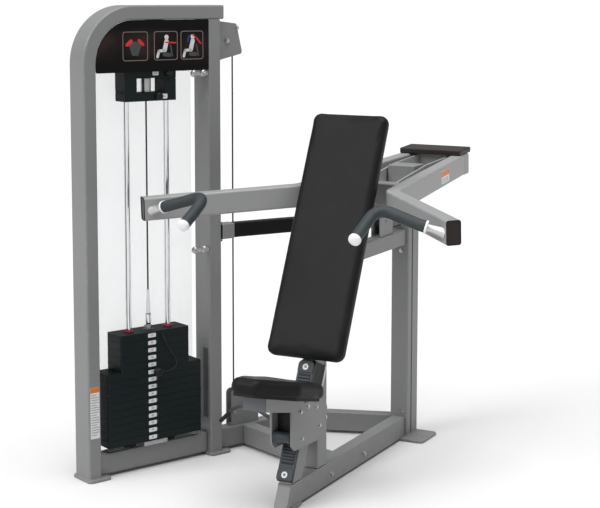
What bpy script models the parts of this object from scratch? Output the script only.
"""Selectorised shoulder press machine with a skewed weight tower.

Metres, +Z up. The user sits on the plane x = MEDIAN_X and faces -Y.
Design coordinates have x = 0 on the user's median plane; the empty
"machine_origin" then moves everything so that the footprint's box is
centred on the world origin, with the floor at z = 0.
"""
from math import atan2, cos, pi, radians, sin, tan

import bmesh
import bpy
from mathutils import Vector

# ---- driving dimensions -------------------------------------------------
MEDIAN_X = 0.11907
MEDIAN_Y = -0.01628
GAP = 0.0003

TOWER_HEIGHT = 1.65
TOWER_CORNER = (-0.73, -0.57)
TOWER_ANGLE = radians(66)
POST_WIDTH = 0.050
POST_DEPTH = 0.096
BACK_POST_A = 0.5135
BEND_RADIUS = 0.20
FOOT_THICKNESS = 0.010
RAIL_WIDTH = 0.050
RAIL_TOP = 0.085
RAIL_BOTTOM = 0.0103
RAIL_END_A = 1.02
MID_B = POST_DEPTH / 2

STACK_A = 0.277
PLATE_COUNT = 15
PLATE_PITCH = 0.0264
PLATE_HEIGHT = 0.026
PLATE_DEPTH = 0.094
NARROW_WIDTH = 0.286
WIDE_WIDTH = 0.390
STACK_BOTTOM = 0.105
NARROW_PLATES = 5
LIFTED_PLATES = 6
GUIDE_OFFSET = 0.082
GUIDE_RADIUS = 0.010
ROD_TOP = 1.440
SELECTOR_RADIUS = 0.008
PIN_RADIUS = 0.0045

CABLE_RADIUS = 0.003
WRAP_RADIUS = 0.036
PULLEY_RADIUS = 0.042
PULLEY_HALF_WIDTH = 0.010
AXLE_RADIUS = 0.006
SIDE_CABLE_A = 0.650
UPPER_PULLEY_Z = 1.522
LOWER_PULLEY_Z = 0.161
LOWER_WEB_A = 0.7452

LEAN = radians(24.5)
SEAT_TILT = radians(13.9)
PAD_LENGTH = 0.852
PAD_WIDTH = 0.286
PAD_THICKNESS = 0.060
PAD_FOOT = (-0.38, 0.4975)
MAST_FRONT = -0.4905
MAST_DEPTH = 0.070
MAST_TOP = 1.10

PIVOT_Y = 0.47
PIVOT_Z = 1.01
ARM_TILT = radians(3.27)
ARM_TUBE_WIDTH = 0.050
ARM_TUBE_HEIGHT = 0.080
ARM_TUBE_MID = 0.003
RAIL_X = 0.178
RAIL_REAR_X = 0.105
RAIL_BEND_Y = -0.520
ARM_REAR = 0.270
CABLE_PIN_Y = 0.220
LEVER_PIN_RADIUS = 0.008
BEAM_TOP = 0.810
BEAM_BOTTOM = 0.752
BEAM_PULLEY_Z = 0.862

FRAME_GREY = (0.21, 0.21, 0.21)
ARM_GREY = (0.38, 0.38, 0.38)


# ---- scene helpers ------------------------------------------------------
def clear_scene():
    for old in list(bpy.data.objects):
        bpy.data.objects.remove(old, do_unlink=True)


def new_collection(name):
    made = bpy.data.collections.new(name)
    bpy.context.scene.collection.children.link(made)
    return made


def material(name, colour, roughness, metallic=0.0, alpha=1.0):
    made = bpy.data.materials.new(name)
    made.use_nodes = True
    shader = made.node_tree.nodes["Principled BSDF"]
    shader.inputs["Base Color"].default_value = (*colour, 1.0)
    shader.inputs["Roughness"].default_value = roughness
    shader.inputs["Metallic"].default_value = metallic
    shader.inputs["Alpha"].default_value = alpha
    return made


def empty(name, location, rotation=(0, 0, 0), parent=None):
    made = bpy.data.objects.new(name, None)
    made.location = location
    made.rotation_euler = rotation
    made.parent = parent
    PARTS.objects.link(made)
    return made


def add(name, data, paint, parent=None, location=(0, 0, 0), rotation=(0, 0, 0)):
    """Put mesh or curve data into the parts collection as one named object."""
    made = bpy.data.objects.new(name, data)
    PARTS.objects.link(made)
    made.location = location
    made.rotation_euler = rotation
    made.parent = parent or ORIGIN
    if paint:
        data.materials.append(paint)
    return made


def as_cutter(piece):
    """Keep a shape only as a Boolean operand."""
    for owner in list(piece.users_collection):
        owner.objects.unlink(piece)
    CUTTERS.objects.link(piece)
    piece.hide_render = True
    piece.display_type = "WIRE"
    return piece


def boolean(piece, operand, operation="DIFFERENCE"):
    step = piece.modifiers.new(operation.lower(), "BOOLEAN")
    step.object = operand
    step.operation = operation
    step.solver = "EXACT"


def to_mesh(piece):
    """Turn a curve object into a welded mesh object of the same name and place."""
    bpy.context.view_layer.update()
    shape = bpy.data.meshes.new_from_object(piece.evaluated_get(bpy.context.evaluated_depsgraph_get()))
    bm = bmesh.new()
    bm.from_mesh(shape)
    bmesh.ops.remove_doubles(bm, verts=bm.verts, dist=0.00001)
    bmesh.ops.recalc_face_normals(bm, faces=bm.faces)
    bm.to_mesh(shape)
    bm.free()
    name = piece.name
    curve = piece.data
    parent = piece.parent
    place = (piece.location.copy(), piece.rotation_euler.copy())
    owner = piece.users_collection[0]
    bpy.data.objects.remove(piece)
    bpy.data.curves.remove(curve)
    made = bpy.data.objects.new(name, shape)
    owner.objects.link(made)
    made.parent = parent
    made.location, made.rotation_euler = place
    return made


def clearance_cutter(piece):
    """A copy of a sharp-edged member, swollen so that a cut by it leaves a gap."""
    swell = 2 * GAP
    shape = piece.data.copy()
    bm = bmesh.new()
    bm.from_mesh(shape)
    bmesh.ops.remove_doubles(bm, verts=bm.verts, dist=0.00001)
    bm.normal_update()
    for vert in bm.verts:
        vert.co += vert.normal * swell
    bm.to_mesh(shape)
    bm.free()
    made = bpy.data.objects.new(piece.name + "_clearance", shape)
    PARTS.objects.link(made)
    made.parent = piece.parent
    made.location = piece.location
    made.rotation_euler = piece.rotation_euler
    return as_cutter(made)


# ---- shape helpers ------------------------------------------------------
def box(name, low, high, paint, parent=None):
    """A square-edged block between two corners of its parent's frame."""
    shape = bpy.data.meshes.new(name)
    bm = bmesh.new()
    bmesh.ops.create_cube(bm, size=1.0)
    size = Vector(high) - Vector(low)
    bmesh.ops.scale(bm, vec=size, verts=bm.verts)
    bm.to_mesh(shape)
    bm.free()
    return add(name, shape, paint, parent, (Vector(low) + Vector(high)) / 2)


def cylinder(name, radius, start, end, paint, parent=None, sides=20):
    """A straight round bar between two points of its parent's frame."""
    start = Vector(start)
    end = Vector(end)
    shape = bpy.data.meshes.new(name)
    bm = bmesh.new()
    bmesh.ops.create_cone(
        bm, cap_ends=True, segments=sides, radius1=radius, radius2=radius, depth=(end - start).length
    )
    bm.to_mesh(shape)
    bm.free()
    turn = (end - start).to_track_quat("Z", "Y").to_euler()
    return add(name, shape, paint, parent, (start + end) / 2, turn)


def rounded(corners):
    """Points of a closed outline; each corner is (u, v) or (u, v, fillet radius)."""
    points = []
    count = len(corners)
    for i, corner in enumerate(corners):
        here = Vector(corner[:2])
        radius = corner[2] if len(corner) > 2 else 0.0
        if not radius:
            points.append(tuple(here))
            continue
        before = (Vector(corners[i - 1][:2]) - here).normalized()
        after = (Vector(corners[(i + 1) % count][:2]) - here).normalized()
        half = before.angle(after) / 2
        centre = here + (before + after).normalized() * (radius / sin(half))
        first = here + before * (radius / tan(half)) - centre
        last = here + after * (radius / tan(half)) - centre
        turn = first.angle_signed(last)
        steps = max(2, round(abs(turn) / radians(15)))
        for k in range(steps + 1):
            angle = atan2(first.y, first.x) - turn * k / steps
            points.append((centre.x + radius * cos(angle), centre.y + radius * sin(angle)))
    return points


def circle(u, v, radius, sides=16):
    return [(u + radius * cos(2 * pi * k / sides), v + radius * sin(2 * pi * k / sides)) for k in range(sides)]


def strip(points, width):
    """Outline of a bar of constant width along a plan path of (u, v) or (u, v, inner radius)."""
    sides = ([], [])
    for i, point in enumerate(points):
        here = Vector(point[:2])
        ahead = (Vector(points[min(i + 1, len(points) - 1)][:2]) - here).normalized()
        behind = (here - Vector(points[max(i - 1, 0)][:2])).normalized()
        along = (ahead + behind).normalized()
        across = Vector((-along.y, along.x))
        reach = width / 2
        if ahead.length and behind.length:
            reach /= cos(ahead.angle(behind) / 2)
        inner = point[2] if len(point) > 2 else 0.0
        bend = behind.cross(ahead) if ahead.length and behind.length else 0.0
        for side, sign in zip(sides, (1, -1)):
            place = here + across * reach * sign
            radius = inner + (width if bend * sign < 0 else 0.0) if inner else 0.0
            side.append((place.x, place.y, radius))
    return rounded(sides[0] + sides[1][::-1])


def plate(name, loops, thickness, paint, parent=None, location=(0, 0, 0), rotation=(0, 0, 0)):
    """A flat outline, with holes as further loops, thickened about its own plane."""
    curve = bpy.data.curves.new(name, "CURVE")
    curve.dimensions = "2D"
    curve.fill_mode = "BOTH"
    curve.extrude = thickness / 2
    for loop in loops:
        spline = curve.splines.new("POLY")
        spline.points.add(len(loop) - 1)
        for point, (u, v) in zip(spline.points, loop):
            point.co = (u, v, 0, 1)
        spline.use_cyclic_u = True
    return to_mesh(add(name, curve, paint, parent, location, rotation))


def plan_plate(name, loops, low, high, paint, parent=None):
    return plate(name, loops, high - low, paint, parent, (0, 0, (low + high) / 2))


def side_plate(name, loops, low, high, paint, parent=None):
    """An outline in (y, z), thickened from x = low to x = high."""
    return plate(name, loops, high - low, paint, parent, ((low + high) / 2, 0, 0), (pi / 2, 0, pi / 2))


def tower_plate(name, loops, low, high, paint):
    """An outline in the tower's (a, z), thickened from b = low to b = high."""
    return plate(name, loops, high - low, paint, TOWER, (0, (low + high) / 2, 0), (pi / 2, 0, 0))


def turned(name, profile, paint, parent=None, location=(0, 0, 0), rotation=(0, 0, 0), sides=24, ring=False):
    """A profile of (radius, height), outer side first from the top down, spun about Z."""
    shape = bpy.data.meshes.new(name)
    bm = bmesh.new()
    verts = [bm.verts.new((radius, 0, height)) for radius, height in profile]
    for first, second in zip(verts, verts[1:]):
        bm.edges.new((first, second))
    if ring:
        bm.edges.new((verts[-1], verts[0]))
    bm.to_mesh(shape)
    bm.free()
    made = add(name, shape, paint, parent, location, rotation)
    spin = made.modifiers.new("spin", "SCREW")
    spin.angle = 2 * pi
    spin.steps = sides
    spin.render_steps = sides
    spin.use_merge_vertices = True
    spin.merge_threshold = 0.00001
    return made


def tube(name, points, radius, paint, parent=None):
    """A round wire or bar along a list of points, with filled ends."""
    curve = bpy.data.curves.new(name, "CURVE")
    curve.dimensions = "3D"
    curve.bevel_depth = radius
    curve.bevel_resolution = 2
    curve.resolution_u = 1
    curve.render_resolution_u = 0
    curve.use_fill_caps = True
    spline = curve.splines.new("POLY")
    spline.points.add(len(points) - 1)
    for point, place in zip(spline.points, points):
        point.co = (*place, 1)
    return add(name, curve, paint, parent)


def smooth_route(knots, steps):
    """Points on a Catmull-Rom curve through the knots."""
    ends = [2 * Vector(knots[0]) - Vector(knots[1])] + [Vector(k) for k in knots]
    ends.append(2 * ends[-1] - ends[-2])
    points = []
    for p0, p1, p2, p3 in zip(ends, ends[1:], ends[2:], ends[3:]):
        for k in range(steps):
            t = k / steps
            points.append(
                0.5 * (2 * p1 + (p2 - p0) * t + (2 * p0 - 5 * p1 + 4 * p2 - p3) * t**2
                       + (3 * p1 - p0 - 3 * p2 + p3) * t**3)
            )
    points.append(ends[-2])
    return points


def arc(u, v, radius, first, last, steps=8):
    return [
        (u + radius * cos(radians(first + (last - first) * k / steps)),
         v + radius * sin(radians(first + (last - first) * k / steps)))
        for k in range(steps + 1)
    ]


# ---- the machine's frame ------------------------------------------------
def build_tower():
    inner = BEND_RADIUS - POST_WIDTH
    overhang = BACK_POST_A + POST_WIDTH + 0.015
    tube_under = TOWER_HEIGHT - POST_WIDTH
    outline = rounded([
        (0, FOOT_THICKNESS + GAP),
        (0, TOWER_HEIGHT, BEND_RADIUS),
        (overhang, TOWER_HEIGHT),
        (overhang, tube_under),
        (POST_WIDTH, tube_under, inner),
        (POST_WIDTH, FOOT_THICKNESS + GAP),
    ])
    tower_plate("tower_bent_tube", [outline], 0, POST_DEPTH, GREY)
    post = box(
        "tower_back_post",
        (BACK_POST_A, 0, FOOT_THICKNESS + GAP),
        (BACK_POST_A + POST_WIDTH, POST_DEPTH, tube_under - GAP), GREY, TOWER,
    )
    port_z = UPPER_PULLEY_Z + WRAP_RADIUS
    port = cylinder("cable_port", 0.007, (BACK_POST_A - 0.01, MID_B, port_z),
                    (BACK_POST_A + POST_WIDTH + 0.01, MID_B, port_z), None, TOWER, 12)
    boolean(post, as_cutter(port))
    low_b = MID_B - RAIL_WIDTH / 2
    high_b = MID_B + RAIL_WIDTH / 2
    box("base_rail", (POST_WIDTH + GAP, low_b, RAIL_BOTTOM), (BACK_POST_A - GAP, high_b, RAIL_TOP), GREY, TOWER)
    extension = box(
        "base_rail_extension", (BACK_POST_A + POST_WIDTH + GAP, low_b, RAIL_BOTTOM),
        (RAIL_END_A, high_b, RAIL_TOP), GREY, TOWER,
    )
    for name, start in (("tower_front_foot", -0.006), ("tower_back_foot", BACK_POST_A - 0.006)):
        foot = rounded([
            (start, -0.012, 0.015), (start + 0.092, -0.012, 0.015),
            (start + 0.092, 0.108, 0.015), (start, 0.108, 0.015),
        ])
        plan_plate(name, [foot], 0, FOOT_THICKNESS, GREY, TOWER)
    for name, side in (("guide_rod_front", -1), ("guide_rod_back", 1)):
        place = STACK_A + side * GUIDE_OFFSET
        cylinder(name, GUIDE_RADIUS, (place, MID_B, RAIL_TOP + GAP), (place, MID_B, ROD_TOP), CHROME, TOWER)
    for name, side in (("stack_bumper_front", -1), ("stack_bumper_back", 1)):
        low = RAIL_TOP + GAP
        high = STACK_BOTTOM - GAP
        ring = [(0.022, high), (0.022, low), (GUIDE_RADIUS + GAP, low), (GUIDE_RADIUS + GAP, high)]
        turned(name, ring, RUBBER, TOWER, (STACK_A + side * GUIDE_OFFSET, MID_B, 0), ring=True)
    return extension


def build_tower_panels():
    left = POST_WIDTH + GAP
    right = BACK_POST_A - GAP
    top = TOWER_HEIGHT - POST_WIDTH - GAP
    corner = BEND_RADIUS - POST_WIDTH
    placard = rounded([(left, 1.42, 0.006), (right, 1.42, 0.006), (right, top, 0.004), (left, top, corner)])
    tower_plate("instruction_placard", [placard], 0.0005, 0.006, BLACK)
    shield = rounded([(0.052, 0.10), (0.500, 0.10), (0.500, 1.598), (0.052, 1.598, corner)])
    tower_plate("rear_shield", [shield], POST_DEPTH + GAP, POST_DEPTH + 0.0033, SHIELD)


def build_base(extension):
    spine = box("spine_tube", (-0.025, -0.500, RAIL_BOTTOM), (0.025, 0.4197, 0.086), GREY)
    pad = box("spine_foot_pad", (-0.030, -0.496, 0), (0.030, -0.436, FOOT_THICKNESS + 0.002), None)
    boolean(spine, as_cutter(pad), "UNION")
    start = TOWER.matrix_world @ Vector((0.700, MID_B - RAIL_WIDTH / 2 - GAP, 0))
    towards = TOWER.matrix_world.to_3x3() @ Vector((0, -1, 0))
    start = ORIGIN.matrix_world.inverted() @ start
    reach = -start.x / towards.x
    end = start + towards * reach
    cross = plan_plate("cross_tube", [strip([start.xy, end.xy], 0.050)], RAIL_BOTTOM, 0.0845, GREY)
    boolean(cross, clearance_cutter(spine))
    corner = ORIGIN.matrix_world.inverted() @ (TOWER.matrix_world @ Vector((0.990, MID_B, 0)))
    post = box("rear_post", (-0.035, 0.42, FOOT_THICKNESS + GAP), (0.035, 0.52, 0.925), GREY)
    groove = box("post_groove", (0.031, 0.452, 0.03), (0.040, 0.464, 0.90), None)
    boolean(post, as_cutter(groove))
    rear = plan_plate("rear_tube", [strip([corner.xy, (0.0, 0.470)], 0.050)], RAIL_BOTTOM, 0.083, GREY)
    post_block = box("rear_post_block", (-0.035 - GAP, 0.40, 0), (0.2, 0.60, 0.2), None)
    boolean(rear, as_cutter(post_block))
    boolean(rear, clearance_cutter(extension))
    foot = rounded([(-0.055, 0.385, 0.02), (0.115, 0.385, 0.02), (0.115, 0.535, 0.02), (-0.055, 0.535, 0.02)])
    plan_plate("rear_foot", [foot], 0, FOOT_THICKNESS, GREY)


def lean_y(offset, z):
    """y of a plane that leans back with the mast, at its distance from the origin."""
    return (offset + z * sin(LEAN)) / cos(LEAN)


def build_mast():
    back = MAST_FRONT + MAST_DEPTH
    low = 0.086 + GAP
    mast = [(lean_y(MAST_FRONT, low), low), (lean_y(back, low), low),
            (lean_y(back, MAST_TOP), MAST_TOP), (lean_y(MAST_FRONT, MAST_TOP), MAST_TOP)]
    side_plate("seat_mast", [mast], -0.025, 0.025, GREY)
    behind = back + 2 * GAP
    front_y = -0.310
    back_y = -0.240
    top = [(y * cos(LEAN) - behind) / sin(LEAN) for y in (front_y, back_y)]
    side_plate("seat_upright", [[(front_y, low), (back_y, low), (back_y, top[1]), (front_y, top[0])]],
               -0.025, 0.025, GREY)
    face = MAST_FRONT - 0.011
    rear = MAST_FRONT - GAP
    track = [(lean_y(rear, 0.092), 0.092), (lean_y(rear, 0.462), 0.462), (lean_y(face, 0.448), 0.448),
             (lean_y(face, 0.104), 0.104)]
    side_plate("seat_track", [track], -0.030, 0.030, SLATE)
    beam = [(lean_y(behind, BEAM_BOTTOM), BEAM_BOTTOM), (0.4197, BEAM_BOTTOM), (0.4197, BEAM_TOP),
            (lean_y(behind, BEAM_TOP), BEAM_TOP)]
    side_plate("upper_beam", [beam], -0.025, 0.025, GREY)
    half = PAD_WIDTH / 2
    pad = rounded([(-half, 0, 0.030), (half, 0, 0.030), (half, PAD_LENGTH, 0.030), (-half, PAD_LENGTH, 0.030)])
    backward = Vector((0, cos(LEAN), -sin(LEAN))) * PAD_THICKNESS / 2
    plate("back_pad", [pad], PAD_THICKNESS, LEATHER, None,
          Vector((0, *PAD_FOOT)) + backward, (pi / 2 - LEAN, 0, 0))


def build_brace():
    on_post = Vector((BACK_POST_A + POST_WIDTH + GAP, 0.018, 0))
    route = []
    for distance in (0, 0.08):
        place = TOWER.matrix_world @ (on_post + Vector((distance, 0, 0)))
        route.append(ORIGIN.matrix_world.inverted() @ place)
    path = [tuple(route[0].xy), (*route[1].xy, 0.10), (-0.365, 0.215, 0.50),
            (-0.175, 0.458, 0.10), (-0.035 - GAP, 0.458)]
    plan_plate("curved_brace", [strip(path, 0.040)], 0.802, 0.856, BLACK)


# ---- pulleys and cables -------------------------------------------------
def pulley(name, parent, location, rotation):
    """A sheave whose axle runs along the local Z axis."""
    seat = WRAP_RADIUS - CABLE_RADIUS - GAP
    bore = AXLE_RADIUS + GAP
    wide = PULLEY_HALF_WIDTH
    profile = [(PULLEY_RADIUS, wide), (PULLEY_RADIUS, 0.0075), (seat, 0.0038), (seat, -0.0038),
               (PULLEY_RADIUS, -0.0075), (PULLEY_RADIUS, -wide), (bore, -wide), (bore, wide)]
    return turned(name, profile, SLATE, parent, location, rotation, ring=True)


def fork(name, parent, low, high, cheeks, web, paint):
    """Two cheeks and a web, each a box, joined with the axle that runs between the cheeks."""
    body = box(name, *cheeks[0], paint, parent)
    for index, piece in enumerate([cheeks[1], web]):
        boolean(body, as_cutter(box(f"{name}_part{index}", *piece, None, parent)), "UNION")
    pin = cylinder(f"{name}_axle", AXLE_RADIUS, low, high, None, parent, 12)
    boolean(body, as_cutter(pin), "UNION")


def housing(name, outline, near, far, blocks, axle_a, axle_z):
    """Two like cheeks in the tower's plane, joined by boxes and by the pulley's axle."""
    body = tower_plate(name, [outline], *near, GREY)
    boolean(body, as_cutter(tower_plate(f"{name}_cheek", [outline], *far, None)), "UNION")
    for index, (low, high) in enumerate(blocks):
        boolean(body, as_cutter(box(f"{name}_block{index}", low, high, None, TOWER)), "UNION")
    pin = cylinder(f"{name}_axle", AXLE_RADIUS, (axle_a, near[0] - 0.002, axle_z),
                   (axle_a, far[1] + 0.002, axle_z), None, TOWER, 12)
    boolean(body, as_cutter(pin), "UNION")


def build_top_pulley(near, far, in_tower):
    """The pulley over the stack, and the bracket that also holds the guide rods' upper ends."""
    top_a = STACK_A + WRAP_RADIUS
    pulley("top_pulley", TOWER, (top_a, MID_B, UPPER_PULLEY_Z), in_tower)
    low = (POST_WIDTH + GAP, MID_B - 0.020)
    high = (BACK_POST_A - GAP, MID_B + 0.020)
    outline = [low, (high[0], low[1]), high, (low[0], high[1])]
    strap_top = ROD_TOP + 0.008
    hanger = plan_plate("top_pulley_hanger", [outline, circle(STACK_A, MID_B, 0.008)], ROD_TOP + GAP, strap_top,
                        GREY, TOWER)
    under = TOWER_HEIGHT - POST_WIDTH - GAP
    left = top_a - 0.022
    right = top_a + 0.030
    web_low = UPPER_PULLEY_Z + PULLEY_RADIUS + 0.004
    blocks = [((left, near[0], strap_top - 0.004), (right, near[1], under)),
              ((left, far[0], strap_top - 0.004), (right, far[1], under)),
              ((left, near[0], web_low), (right, far[1], under))]
    for index, (low, high) in enumerate(blocks):
        boolean(hanger, as_cutter(box(f"hanger_block{index}", low, high, None, TOWER)), "UNION")
    pin = cylinder("hanger_axle", AXLE_RADIUS, (top_a, near[0] - 0.002, UPPER_PULLEY_Z),
                   (top_a, far[1] + 0.002, UPPER_PULLEY_Z), None, TOWER, 12)
    boolean(hanger, as_cutter(pin), "UNION")


def build_tower_pulleys():
    in_tower = (pi / 2, 0, 0)
    cheek_in = 0.014
    cheek_out = 0.018
    near = (MID_B - cheek_out, MID_B - cheek_in)
    far = (MID_B + cheek_in, MID_B + cheek_out)
    build_top_pulley(near, far, in_tower)

    side_a = SIDE_CABLE_A - WRAP_RADIUS
    pulley("side_pulley", TOWER, (side_a, MID_B, UPPER_PULLEY_Z), in_tower)
    start = BACK_POST_A + POST_WIDTH + GAP
    outline = rounded([(start, 1.448), (0.683, 1.474, 0.010), (0.657, 1.583, 0.010), (start, 1.594)])
    web = ((start, near[0], 1.449), (start + 0.004, far[1], 1.545))
    housing("side_pulley_housing", outline, near, far, [web], side_a, UPPER_PULLEY_Z)

    low_a = SIDE_CABLE_A + WRAP_RADIUS
    pulley("lower_pulley", TOWER, (low_a, MID_B, LOWER_PULLEY_Z), in_tower)
    base = RAIL_TOP + GAP
    outline = rounded([(0.628, base), (0.752, base), (0.752, 0.222, 0.040), (0.628, 0.222, 0.018)])
    web = ((LOWER_WEB_A, near[0], base), (0.7515, far[1], 0.180))
    floor = ((0.628, near[0], base), (0.7515, far[1], base + 0.005))
    housing("lower_pulley_housing", outline, near, far, [web, floor], low_a, LOWER_PULLEY_Z)


def build_beam_pulley():
    axle_y = CABLE_PIN_Y + WRAP_RADIUS
    pulley("beam_pulley", ORIGIN, (0, axle_y, BEAM_PULLEY_Z), (0, pi / 2, 0))
    floor = BEAM_TOP + GAP
    cheeks = [((side * 0.016 - 0.002, 0.200, floor), (side * 0.016 + 0.002, 0.312, 0.886)) for side in (-1, 1)]
    web = ((-0.017, 0.200, floor), (0.017, 0.312, floor + 0.004))
    fork("beam_pulley_housing", ORIGIN, (-0.020, axle_y, BEAM_PULLEY_Z), (0.020, axle_y, BEAM_PULLEY_Z),
         cheeks, web, GREY)


def build_cables():
    stem_top = 0.645
    tube("stack_cable", [(STACK_A, MID_B, stem_top + GAP), (STACK_A, MID_B, UPPER_PULLEY_Z - GAP)],
         CABLE_RADIUS, CABLE, TOWER)
    route = arc(STACK_A + WRAP_RADIUS, UPPER_PULLEY_Z, WRAP_RADIUS, 180, 90)
    route += arc(SIDE_CABLE_A - WRAP_RADIUS, UPPER_PULLEY_Z, WRAP_RADIUS, 90, 0)
    route += arc(SIDE_CABLE_A + WRAP_RADIUS, LOWER_PULLEY_Z, WRAP_RADIUS, 180, 270)
    route.append((LOWER_WEB_A - GAP, LOWER_PULLEY_Z - WRAP_RADIUS))
    tube("tower_cable", [(a, MID_B, z) for a, z in route], CABLE_RADIUS, CABLE, TOWER)
    axle_y = CABLE_PIN_Y + WRAP_RADIUS
    route = arc(axle_y, BEAM_PULLEY_Z, WRAP_RADIUS, 180, 270)
    route.append((0.4197, BEAM_PULLEY_Z - WRAP_RADIUS))
    tube("rear_cable", [(0, y, z) for y, z in route], CABLE_RADIUS, CABLE)
    pin_z = PIVOT_Z - (PIVOT_Y - CABLE_PIN_Y) * sin(ARM_TILT)
    under_pin = pin_z - LEVER_PIN_RADIUS - 2 * GAP
    tube("arm_cable", [(0, CABLE_PIN_Y, BEAM_PULLEY_Z + GAP), (0, CABLE_PIN_Y, under_pin)], CABLE_RADIUS, CABLE)


# ---- the weight stack ---------------------------------------------------
def plate_bottom(number):
    """Height of the underside of plate 1 (the head plate) to 15 (the lowest)."""
    return STACK_BOTTOM + (PLATE_COUNT - number) * PLATE_PITCH


def stack_block(name, width, low, high, pin_holes):
    half = width / 2
    low_b = MID_B - PLATE_DEPTH / 2
    high_b = MID_B + PLATE_DEPTH / 2
    outline = rounded([(STACK_A - half, low_b, 0.006), (STACK_A + half, low_b, 0.006),
                       (STACK_A + half, high_b, 0.006), (STACK_A - half, high_b, 0.006)])
    holes = [circle(STACK_A + side * GUIDE_OFFSET, MID_B, GUIDE_RADIUS + 0.001, 12) for side in (-1, 1)]
    holes.append(circle(STACK_A, MID_B, SELECTOR_RADIUS + 0.001, 12))
    block = plan_plate(name, [outline] + holes, low, high, IRON, TOWER)
    for index, z in enumerate(pin_holes):
        cutter = cylinder(f"{name}_pin_hole{index}", PIN_RADIUS + GAP, (STACK_A, -0.02, z),
                          (STACK_A, MID_B, z), None, TOWER, 12)
        boolean(block, as_cutter(cutter))
    return block


def build_stack():
    for number in range(1, LIFTED_PLATES + 1):
        name = "head_plate" if number == 1 else f"lifted_plate_{number}"
        width = NARROW_WIDTH if number <= NARROW_PLATES else WIDE_WIDTH
        low = plate_bottom(number)
        stack_block(name, width, low, low + PLATE_HEIGHT, [low + PLATE_HEIGHT / 2])
    top = plate_bottom(LIFTED_PLATES + 1) + PLATE_HEIGHT
    stack_block("fixed_plates", WIDE_WIDTH, STACK_BOTTOM, top, [])
    head_top = plate_bottom(1) + PLATE_HEIGHT
    profile = [(0.0, 0.645), (0.005, 0.645), (0.005, 0.600), (0.009, 0.560), (0.011, 0.545),
               (0.011, 0.520), (0.016, 0.515), (0.016, head_top + GAP), (SELECTOR_RADIUS, head_top + GAP),
               (SELECTOR_RADIUS, 0.112), (0.0, 0.112)]
    rod = turned("selector_rod", profile, CHROME, TOWER, (STACK_A, MID_B, 0), sides=16)
    pin_z = plate_bottom(LIFTED_PLATES) + PLATE_HEIGHT / 2
    hole = cylinder("selector_hole", PIN_RADIUS + GAP, (STACK_A, 0.03, pin_z), (STACK_A, 0.07, pin_z),
                    None, TOWER, 12)
    boolean(rod, as_cutter(hole))
    profile = [(0.0, 0.032), (0.010, 0.031), (0.015, 0.026), (0.015, 0.008), (0.010, 0.004), (0.010, 0.001),
               (PIN_RADIUS, 0.001), (PIN_RADIUS, -0.054), (0.0, -0.056)]
    turned("selector_pin", profile, BLACK, TOWER, (STACK_A, 0, pin_z), (pi / 2, 0, 0), sides=16)


def build_lanyard():
    """A cord from the head plate's front, in a slack loop, to the selector pin's knob."""
    pin_z = plate_bottom(LIFTED_PLATES) + PLATE_HEIGHT / 2
    front = MID_B - PLATE_DEPTH / 2
    knots = [(0.0250, front - 0.0008, 0.4900), (0.0252, front - 0.0070, 0.4885), (0.0310, front - 0.0095, 0.4700),
             (0.0470, front - 0.0100, 0.4390), (0.0660, front - 0.0100, 0.4110), (0.0800, front - 0.0105, 0.3870),
             (0.0790, front - 0.0115, 0.3690), (0.0640, front - 0.0130, 0.3570), (0.0430, front - 0.0155, 0.3515),
             (0.0270, front - 0.0175, 0.3535), (0.0165, front - 0.0180, pin_z)]
    route = [(STACK_A + a, b, z) for a, b, z in smooth_route(knots, 5)]
    tube("pin_lanyard", route, 0.0013, CABLE, TOWER)


def build_add_ons():
    """Two L-shaped half-step weights that park, nested, at the top of the guide rods."""
    half = 0.105
    leg = 0.048
    depth = (MID_B - 0.0325, MID_B + 0.0325)
    upper = [(STACK_A - half, 1.353), (STACK_A - half + leg, 1.353), (STACK_A - half + leg, 1.397),
             (STACK_A + half, 1.397), (STACK_A + half, 1.432), (STACK_A - half, 1.432)]
    lower = [(STACK_A - half, 1.317), (STACK_A + half, 1.317), (STACK_A + half, 1.392),
             (STACK_A + half - leg, 1.392), (STACK_A + half - leg, 1.347), (STACK_A - half, 1.347)]
    for name, outline in (("add_on_upper", upper), ("add_on_lower", lower)):
        weight = tower_plate(name, [outline], *depth, IRON)
        for index, (offset, radius) in enumerate(((-GUIDE_OFFSET, GUIDE_RADIUS), (GUIDE_OFFSET, GUIDE_RADIUS),
                                                  (0, 0.012))):
            bore = cylinder(f"{name}_bore{index}", radius + 0.001, (STACK_A + offset, MID_B, 1.30),
                            (STACK_A + offset, MID_B, 1.45), None, TOWER, 12)
            boolean(weight, as_cutter(bore))


# ---- the seat -----------------------------------------------------------
def seat_top(y):
    return 0.506 - tan(SEAT_TILT) * (y + 0.765)


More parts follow.
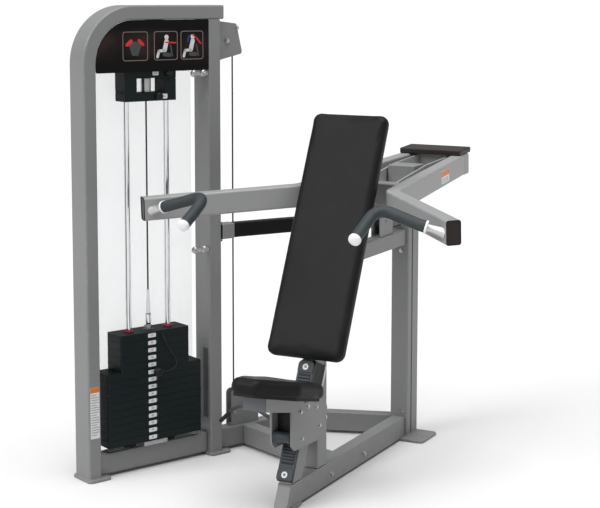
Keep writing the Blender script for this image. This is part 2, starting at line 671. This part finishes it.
def build_seat():
    thickness = 0.060
    front = -0.765
    back = -0.428
    length = (back - front) / cos(SEAT_TILT)
    outline = rounded([(-0.046, 0, 0.030), (0.046, 0, 0.030), (0.120, 0.160, 0.060), (0.120, length, 0.025),
                       (-0.120, length, 0.025), (-0.120, 0.160, 0.060)])
    down = Vector((0, -sin(SEAT_TILT), -cos(SEAT_TILT))) * thickness / 2
    plate("seat_pad", [outline], thickness, LEATHER, None,
          Vector((0, front, seat_top(front))) + down, (-SEAT_TILT, 0, 0))
    drop = thickness / cos(SEAT_TILT) + GAP

    def under(y, extra=0.0):
        return seat_top(y) - drop - extra

    cheek = [(-0.700, under(-0.700, 0.045)), (-0.525, under(-0.525, 0.045)), (-0.525, 0.225), (-0.505, 0.206),
             (-0.330, 0.200), (-0.275, 0.245), (-0.272, 0.300), (-0.300, 0.338), (-0.440, 0.350),
             (-0.440, under(-0.440)), (-0.700, under(-0.700))]
    body = side_plate("seat_carriage", [cheek], 0.034, 0.042, GREY)
    other = side_plate("carriage_cheek", [cheek], -0.042, -0.034, None)
    boolean(body, as_cutter(other), "UNION")
    shelf = [(-0.6995, under(-0.6995, 0.0445)), (-0.6935, under(-0.6935, 0.0445)), (-0.6935, under(-0.6935, 0.008)),
             (-0.4405, under(-0.4405, 0.008)), (-0.4405, under(-0.4405, 0.0001)), (-0.6995, under(-0.6995, 0.0001))]
    boolean(body, as_cutter(side_plate("carriage_shelf", [shelf], -0.041, 0.041, None)), "UNION")
    route = smooth_route([(-0.0480, -0.430, 0.252), (-0.085, -0.425, 0.272), (-0.150, -0.420, 0.300),
                          (-0.200, -0.422, 0.308), (-0.240, -0.425, 0.290), (-0.285, -0.430, 0.245)], 3)
    tube("seat_lever", route, 0.0065, BLACK)


# ---- the press arm ------------------------------------------------------
RAIL_SLANT = (1 + ((RAIL_X - RAIL_REAR_X) / (ARM_REAR - RAIL_BEND_Y))**2)**0.5


def rail_x(y):
    """Distance of a rail's centreline from the median plane, behind its bend."""
    return RAIL_X + (RAIL_REAR_X - RAIL_X) * (y - RAIL_BEND_Y) / (ARM_REAR - RAIL_BEND_Y)


def build_arm():
    low = ARM_TUBE_MID - ARM_TUBE_HEIGHT / 2
    high = ARM_TUBE_MID + ARM_TUBE_HEIGHT / 2
    rear = ARM_REAR
    for name, side in (("arm_rail_left", 1), ("arm_rail_right", -1)):
        path = [(side * rail_x(rear + 0.02), rear + 0.02), (side * RAIL_X, RAIL_BEND_Y, 0.030),
                (side * 0.570, -0.930)]
        rail = plan_plate(name, [strip(path, ARM_TUBE_WIDTH)], low, high, ARM, ARM_PIVOT)
        behind = box(name + "_trim", (-0.3, rear - GAP, -0.1), (0.3, rear + 0.1, 0.1), None, ARM_PIVOT)
        boolean(rail, as_cutter(behind))
        handle_name = name.replace("arm_rail", "handle")
        knots = [(side * 0.545, -0.905, -0.005), (side * 0.475, -0.938, 0.018), (side * 0.400, -0.935, 0.040),
                 (side * 0.345, -0.936, 0.055), (side * 0.316, -0.965, 0.050), (side * 0.310, -1.020, 0.025),
                 (side * 0.309, -1.095, -0.007)]
        handle = to_mesh(tube(handle_name, smooth_route(knots, 3), 0.0195, SLATE, ARM_PIVOT))
        boolean(handle, clearance_cutter(rail))
    box("arm_rear_bar", (-0.131, rear, low), (0.131, rear + 0.050, high), ARM, ARM_PIVOT)
    front_half, back_half = [rail_x(y) - ARM_TUBE_WIDTH / 2 * RAIL_SLANT - GAP for y in (-0.415, -0.365)]
    between = [(-front_half, -0.415), (front_half, -0.415), (back_half, -0.365), (-back_half, -0.365)]
    plan_plate("arm_cross_bar", [between], low, high, ARM, ARM_PIVOT)
    box("counterweight", (-0.128, rear - 0.038, high + GAP), (0.128, rear + 0.075, high + 0.022), BLACK, ARM_PIVOT)
    outline = rounded([(-0.275, -0.028, 0.020), (0.030, -0.034), (rear - GAP, -0.030), (rear - GAP, 0.036),
                       (0.030, 0.036), (-0.275, 0.012, 0.020)])
    bore = circle(0, 0, 0.0153)
    lever = side_plate("pivot_levers", [outline, bore], 0.062, 0.070, ARM, ARM_PIVOT)
    other = side_plate("lever_cheek", [outline, bore], -0.070, -0.062, None, ARM_PIVOT)
    boolean(lever, as_cutter(other), "UNION")
    pin_y = CABLE_PIN_Y - PIVOT_Y
    pin = cylinder("lever_pin", LEVER_PIN_RADIUS, (-0.066, pin_y, 0), (0.066, pin_y, 0), None, ARM_PIVOT, 16)
    boolean(lever, as_cutter(pin), "UNION")


def build_pivot_head():
    head = box("pivot_head", (-0.055, 0.425, 0.925 + GAP), (0.055, 0.515, 1.052), GREY)
    bore = cylinder("shaft_seat", 0.015 + GAP, (-0.09, PIVOT_Y, PIVOT_Z), (0.09, PIVOT_Y, PIVOT_Z), None, None, 16)
    boolean(head, as_cutter(bore))
    cylinder("pivot_shaft", 0.015, (-0.080, PIVOT_Y, PIVOT_Z), (0.080, PIVOT_Y, PIVOT_Z), CHROME, None, 16)


clear_scene()
PARTS = new_collection("shoulder_press_machine")
CUTTERS = new_collection("cutters")

GREY = material("frame_paint", FRAME_GREY, 0.45)
ARM = material("arm_paint", ARM_GREY, 0.42)
BLACK = material("black_satin", (0.012, 0.012, 0.013), 0.40)
IRON = material("stack_black", (0.008, 0.013, 0.013), 0.42)
SLATE = material("slate_rubber", (0.035, 0.045, 0.050), 0.55)
RUBBER = material("bumper_rubber", (0.015, 0.015, 0.015), 0.80)
LEATHER = material("pad_leather", (0.020, 0.020, 0.021), 0.50)
CHROME = material("guide_chrome", (0.60, 0.62, 0.64), 0.12, 1.0)
CABLE = material("cable_jacket", (0.020, 0.020, 0.022), 0.45)
SHIELD = material("shield_plastic", (0.80, 0.82, 0.85), 0.20, 0.0, 0.35)

ORIGIN = empty("machine_origin", (MEDIAN_X, MEDIAN_Y, 0))
TOWER = empty("tower_origin", (*TOWER_CORNER, 0), (0, 0, TOWER_ANGLE), ORIGIN)
ARM_PIVOT = empty("arm_pivot", (0, PIVOT_Y, PIVOT_Z), (ARM_TILT, 0, 0), ORIGIN)
bpy.context.view_layer.update()

rail_extension = build_tower()
build_tower_panels()
build_base(rail_extension)
build_mast()
build_brace()
build_tower_pulleys()
build_beam_pulley()
build_cables()
build_stack()
build_lanyard()
build_add_ons()
build_seat()
build_arm()
build_pivot_head()
